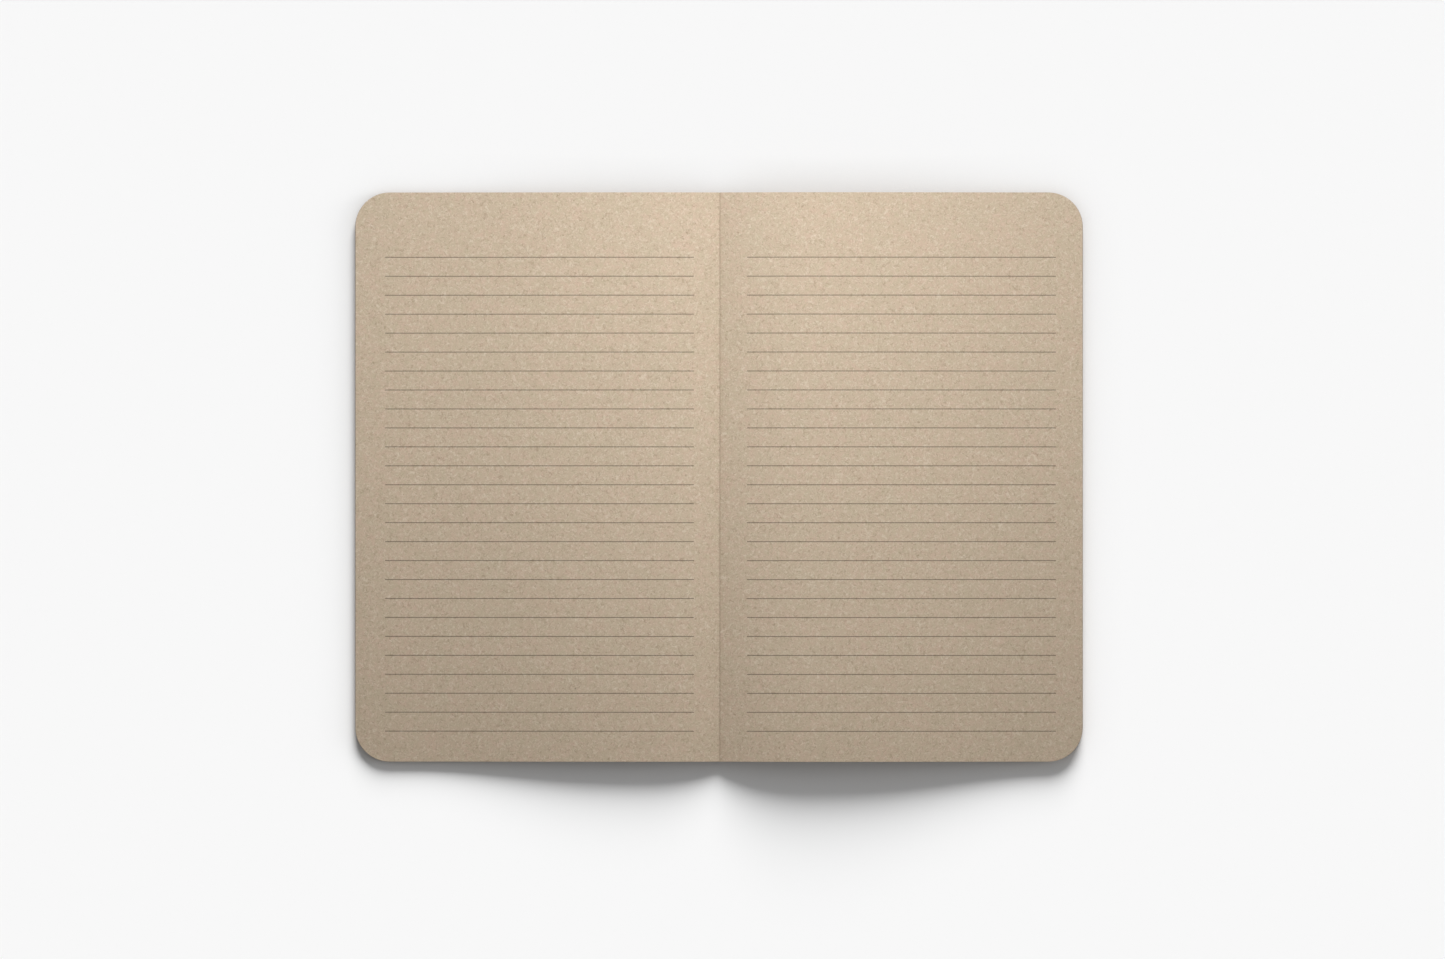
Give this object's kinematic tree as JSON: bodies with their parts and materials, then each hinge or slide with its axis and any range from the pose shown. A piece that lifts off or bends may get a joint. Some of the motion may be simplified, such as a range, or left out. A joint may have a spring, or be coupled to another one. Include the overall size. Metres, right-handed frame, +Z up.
{
  "type": "pocket notebook",
  "caption": "Open staple-bound pocket notebook with ruled brown kraft leaves, rounded fore-edge corners, a folded card cover and wire staples; it closes and its leaves turn.",
  "frame": {"origin": "on the resting plane, under the middle of the fold", "axes": "X runs across the spread with +X to the right page, Y runs along the fold with +Y to the top of the page, Z is up"},
  "size_m": [0.179, 0.14, 0.0069],
  "materials": {
    "kraft_paper": "uncoated brown kraft writing paper, matte, faintly mottled, printed with fine grey-brown rules",
    "kraft_card": "uncoated heavy brown kraft card, matte, scored and folded",
    "steel_wire": "bright drawn round steel wire"
  },
  "bodies": {
    "back_half": {"back_cover": "kraft_card"},
    "front_half": {"front_cover": "kraft_card"},
    "spine": {"cover_spine": "kraft_card", "staple_top": "steel_wire", "staple_bottom": "steel_wire"},
    "leaf_01_body": {"leaf_01": "kraft_paper"},
    "leaf_02_body": {"leaf_02": "kraft_paper"},
    "leaf_03_body": {"leaf_03": "kraft_paper"},
    "leaf_04_body": {"leaf_04": "kraft_paper"},
    "leaf_05_body": {"leaf_05": "kraft_paper"},
    "leaf_06_body": {"leaf_06": "kraft_paper"},
    "leaf_07_body": {"leaf_07": "kraft_paper"},
    "leaf_08_body": {"leaf_08": "kraft_paper"},
    "leaf_09_body": {"leaf_09": "kraft_paper"},
    "leaf_10_body": {"leaf_10": "kraft_paper"},
    "leaf_11_body": {"leaf_11": "kraft_paper"},
    "leaf_12_body": {"leaf_12": "kraft_paper"},
    "leaf_13_body": {"leaf_13": "kraft_paper"},
    "leaf_14_body": {"leaf_14": "kraft_paper"},
    "leaf_15_body": {"leaf_15": "kraft_paper"},
    "leaf_16_body": {"leaf_16": "kraft_paper"},
    "leaf_17_body": {"leaf_17": "kraft_paper"},
    "leaf_18_body": {"leaf_18": "kraft_paper"},
    "leaf_19_body": {"leaf_19": "kraft_paper"},
    "leaf_20_body": {"leaf_20": "kraft_paper"},
    "leaf_21_body": {"leaf_21": "kraft_paper"},
    "leaf_22_body": {"leaf_22": "kraft_paper"},
    "leaf_23_body": {"leaf_23": "kraft_paper"},
    "leaf_24_body": {"leaf_24": "kraft_paper"}
  },
  "joints": [
    {"name": "close", "type": "hinge", "parent": "back_half", "child": "front_half", "pos_m": [0, 0, 0.00237], "axis": [0, -1, 0], "range_deg": [-176, 0]},
    {"name": "spine_turn", "type": "hinge", "parent": "back_half", "child": "spine", "pos_m": [0, 0, 0.00237], "axis": [0, -1, 0], "range_deg": [-88, 0]},
    {"name": "leaf_01_turn", "type": "hinge", "parent": "back_half", "child": "leaf_01_body", "pos_m": [0, 0, 0.00237], "axis": [0, -1, 0], "range_deg": [-176.28, 0], "deforming": ["leaf_01"]},
    {"name": "leaf_02_turn", "type": "hinge", "parent": "back_half", "child": "leaf_02_body", "pos_m": [0, 0, 0.00237], "axis": [0, -1, 0], "range_deg": [-176.56, 0], "deforming": ["leaf_02"]},
    {"name": "leaf_03_turn", "type": "hinge", "parent": "back_half", "child": "leaf_03_body", "pos_m": [0, 0, 0.00237], "axis": [0, -1, 0], "range_deg": [-176.84, 0], "deforming": ["leaf_03"]},
    {"name": "leaf_04_turn", "type": "hinge", "parent": "back_half", "child": "leaf_04_body", "pos_m": [0, 0, 0.00237], "axis": [0, -1, 0], "range_deg": [-177.12, 0], "deforming": ["leaf_04"]},
    {"name": "leaf_05_turn", "type": "hinge", "parent": "back_half", "child": "leaf_05_body", "pos_m": [0, 0, 0.00237], "axis": [0, -1, 0], "range_deg": [-177.4, 0], "deforming": ["leaf_05"]},
    {"name": "leaf_06_turn", "type": "hinge", "parent": "back_half", "child": "leaf_06_body", "pos_m": [0, 0, 0.00237], "axis": [0, -1, 0], "range_deg": [-177.68, 0], "deforming": ["leaf_06"]},
    {"name": "leaf_07_turn", "type": "hinge", "parent": "back_half", "child": "leaf_07_body", "pos_m": [0, 0, 0.00237], "axis": [0, -1, 0], "range_deg": [-177.96, 0], "deforming": ["leaf_07"]},
    {"name": "leaf_08_turn", "type": "hinge", "parent": "back_half", "child": "leaf_08_body", "pos_m": [0, 0, 0.00237], "axis": [0, -1, 0], "range_deg": [-178.24, 0], "deforming": ["leaf_08"]},
    {"name": "leaf_09_turn", "type": "hinge", "parent": "back_half", "child": "leaf_09_body", "pos_m": [0, 0, 0.00237], "axis": [0, -1, 0], "range_deg": [-178.52, 0], "deforming": ["leaf_09"]},
    {"name": "turn_page", "type": "hinge", "parent": "back_half", "child": "leaf_10_body", "pos_m": [0, 0, 0.00286], "axis": [0, -1, 0], "range_deg": [0, 154], "deforming": ["leaf_10"]},
    {"name": "leaf_11_turn", "type": "hinge", "parent": "back_half", "child": "leaf_11_body", "pos_m": [0, 0, 0.00286], "axis": [0, -1, 0], "range_deg": [0, 116.86], "deforming": ["leaf_11"]},
    {"name": "leaf_12_turn", "type": "hinge", "parent": "back_half", "child": "leaf_12_body", "pos_m": [0, 0, 0.00286], "axis": [0, -1, 0], "range_deg": [0, 86.88], "deforming": ["leaf_12"]},
    {"name": "leaf_13_turn", "type": "hinge", "parent": "back_half", "child": "leaf_13_body", "pos_m": [0, 0, 0.00286], "axis": [0, -1, 0], "range_deg": [0, 63.08], "deforming": ["leaf_13"]},
    {"name": "leaf_14_turn", "type": "hinge", "parent": "back_half", "child": "leaf_14_body", "pos_m": [0, 0, 0.00286], "axis": [0, -1, 0], "range_deg": [0, 44.54], "deforming": ["leaf_14"]},
    {"name": "leaf_15_turn", "type": "hinge", "parent": "back_half", "child": "leaf_15_body", "pos_m": [0, 0, 0.00286], "axis": [0, -1, 0], "range_deg": [0, 30.42], "deforming": ["leaf_15"]},
    {"name": "leaf_16_turn", "type": "hinge", "parent": "back_half", "child": "leaf_16_body", "pos_m": [0, 0, 0.00286], "axis": [0, -1, 0], "range_deg": [0, 19.96], "deforming": ["leaf_16"]},
    {"name": "leaf_17_turn", "type": "hinge", "parent": "back_half", "child": "leaf_17_body", "pos_m": [0, 0, 0.00286], "axis": [0, -1, 0], "range_deg": [0, 12.46], "deforming": ["leaf_17"]},
    {"name": "leaf_18_turn", "type": "hinge", "parent": "back_half", "child": "leaf_18_body", "pos_m": [0, 0, 0.00286], "axis": [0, -1, 0], "range_deg": [0, 7.3], "deforming": ["leaf_18"]},
    {"name": "leaf_19_turn", "type": "hinge", "parent": "back_half", "child": "leaf_19_body", "pos_m": [0, 0, 0.00286], "axis": [0, -1, 0], "range_deg": [0, 3.94], "deforming": ["leaf_19"]},
    {"name": "leaf_20_turn", "type": "hinge", "parent": "back_half", "child": "leaf_20_body", "pos_m": [0, 0, 0.00286], "axis": [0, -1, 0], "range_deg": [0, 1.9], "deforming": ["leaf_20"]},
    {"name": "leaf_21_turn", "type": "hinge", "parent": "back_half", "child": "leaf_21_body", "pos_m": [0, 0, 0.00286], "axis": [0, -1, 0], "range_deg": [0, 0.7798], "deforming": ["leaf_21"]},
    {"name": "leaf_22_turn", "type": "hinge", "parent": "back_half", "child": "leaf_22_body", "pos_m": [0, 0, 0.00286], "axis": [0, -1, 0], "range_deg": [0, 0.2474], "deforming": ["leaf_22"]},
    {"name": "leaf_23_turn", "type": "hinge", "parent": "back_half", "child": "leaf_23_body", "pos_m": [0, 0, 0.00286], "axis": [0, -1, 0], "range_deg": [0, 0.0497], "deforming": ["leaf_23"]},
    {"name": "leaf_24_turn", "type": "hinge", "parent": "back_half", "child": "leaf_24_body", "pos_m": [0, 0, 0.00286], "axis": [0, -1, 0], "range_deg": [0, 0.0041], "deforming": ["leaf_24"]}
  ],
  "couplings": [
    {"joint": "spine_turn", "follows": "close", "ratio": 0.5},
    {"joint": "leaf_01_turn", "follows": "close", "ratio": 1.0016},
    {"joint": "leaf_02_turn", "follows": "close", "ratio": 1.0032},
    {"joint": "leaf_03_turn", "follows": "close", "ratio": 1.0048},
    {"joint": "leaf_04_turn", "follows": "close", "ratio": 1.0064},
    {"joint": "leaf_05_turn", "follows": "close", "ratio": 1.008},
    {"joint": "leaf_06_turn", "follows": "close", "ratio": 1.0095},
    {"joint": "leaf_07_turn", "follows": "close", "ratio": 1.0111},
    {"joint": "leaf_08_turn", "follows": "close", "ratio": 1.0127},
    {"joint": "leaf_09_turn", "follows": "close", "ratio": 1.0143},
    {"joint": "leaf_11_turn", "follows": "turn_page", "ratio": 0.75884},
    {"joint": "leaf_12_turn", "follows": "turn_page", "ratio": 0.56417},
    {"joint": "leaf_13_turn", "follows": "turn_page", "ratio": 0.4096},
    {"joint": "leaf_14_turn", "follows": "turn_page", "ratio": 0.2892},
    {"joint": "leaf_15_turn", "follows": "turn_page", "ratio": 0.19753},
    {"joint": "leaf_16_turn", "follows": "turn_page", "ratio": 0.1296},
    {"joint": "leaf_17_turn", "follows": "turn_page", "ratio": 0.080909},
    {"joint": "leaf_18_turn", "follows": "turn_page", "ratio": 0.047427},
    {"joint": "leaf_19_turn", "follows": "turn_page", "ratio": 0.0256},
    {"joint": "leaf_20_turn", "follows": "turn_page", "ratio": 0.012346},
    {"joint": "leaf_21_turn", "follows": "turn_page", "ratio": 0.005057},
    {"joint": "leaf_22_turn", "follows": "turn_page", "ratio": 0.0016},
    {"joint": "leaf_23_turn", "follows": "turn_page", "ratio": 0.000316},
    {"joint": "leaf_24_turn", "follows": "turn_page", "ratio": 0.00002}
  ]
}
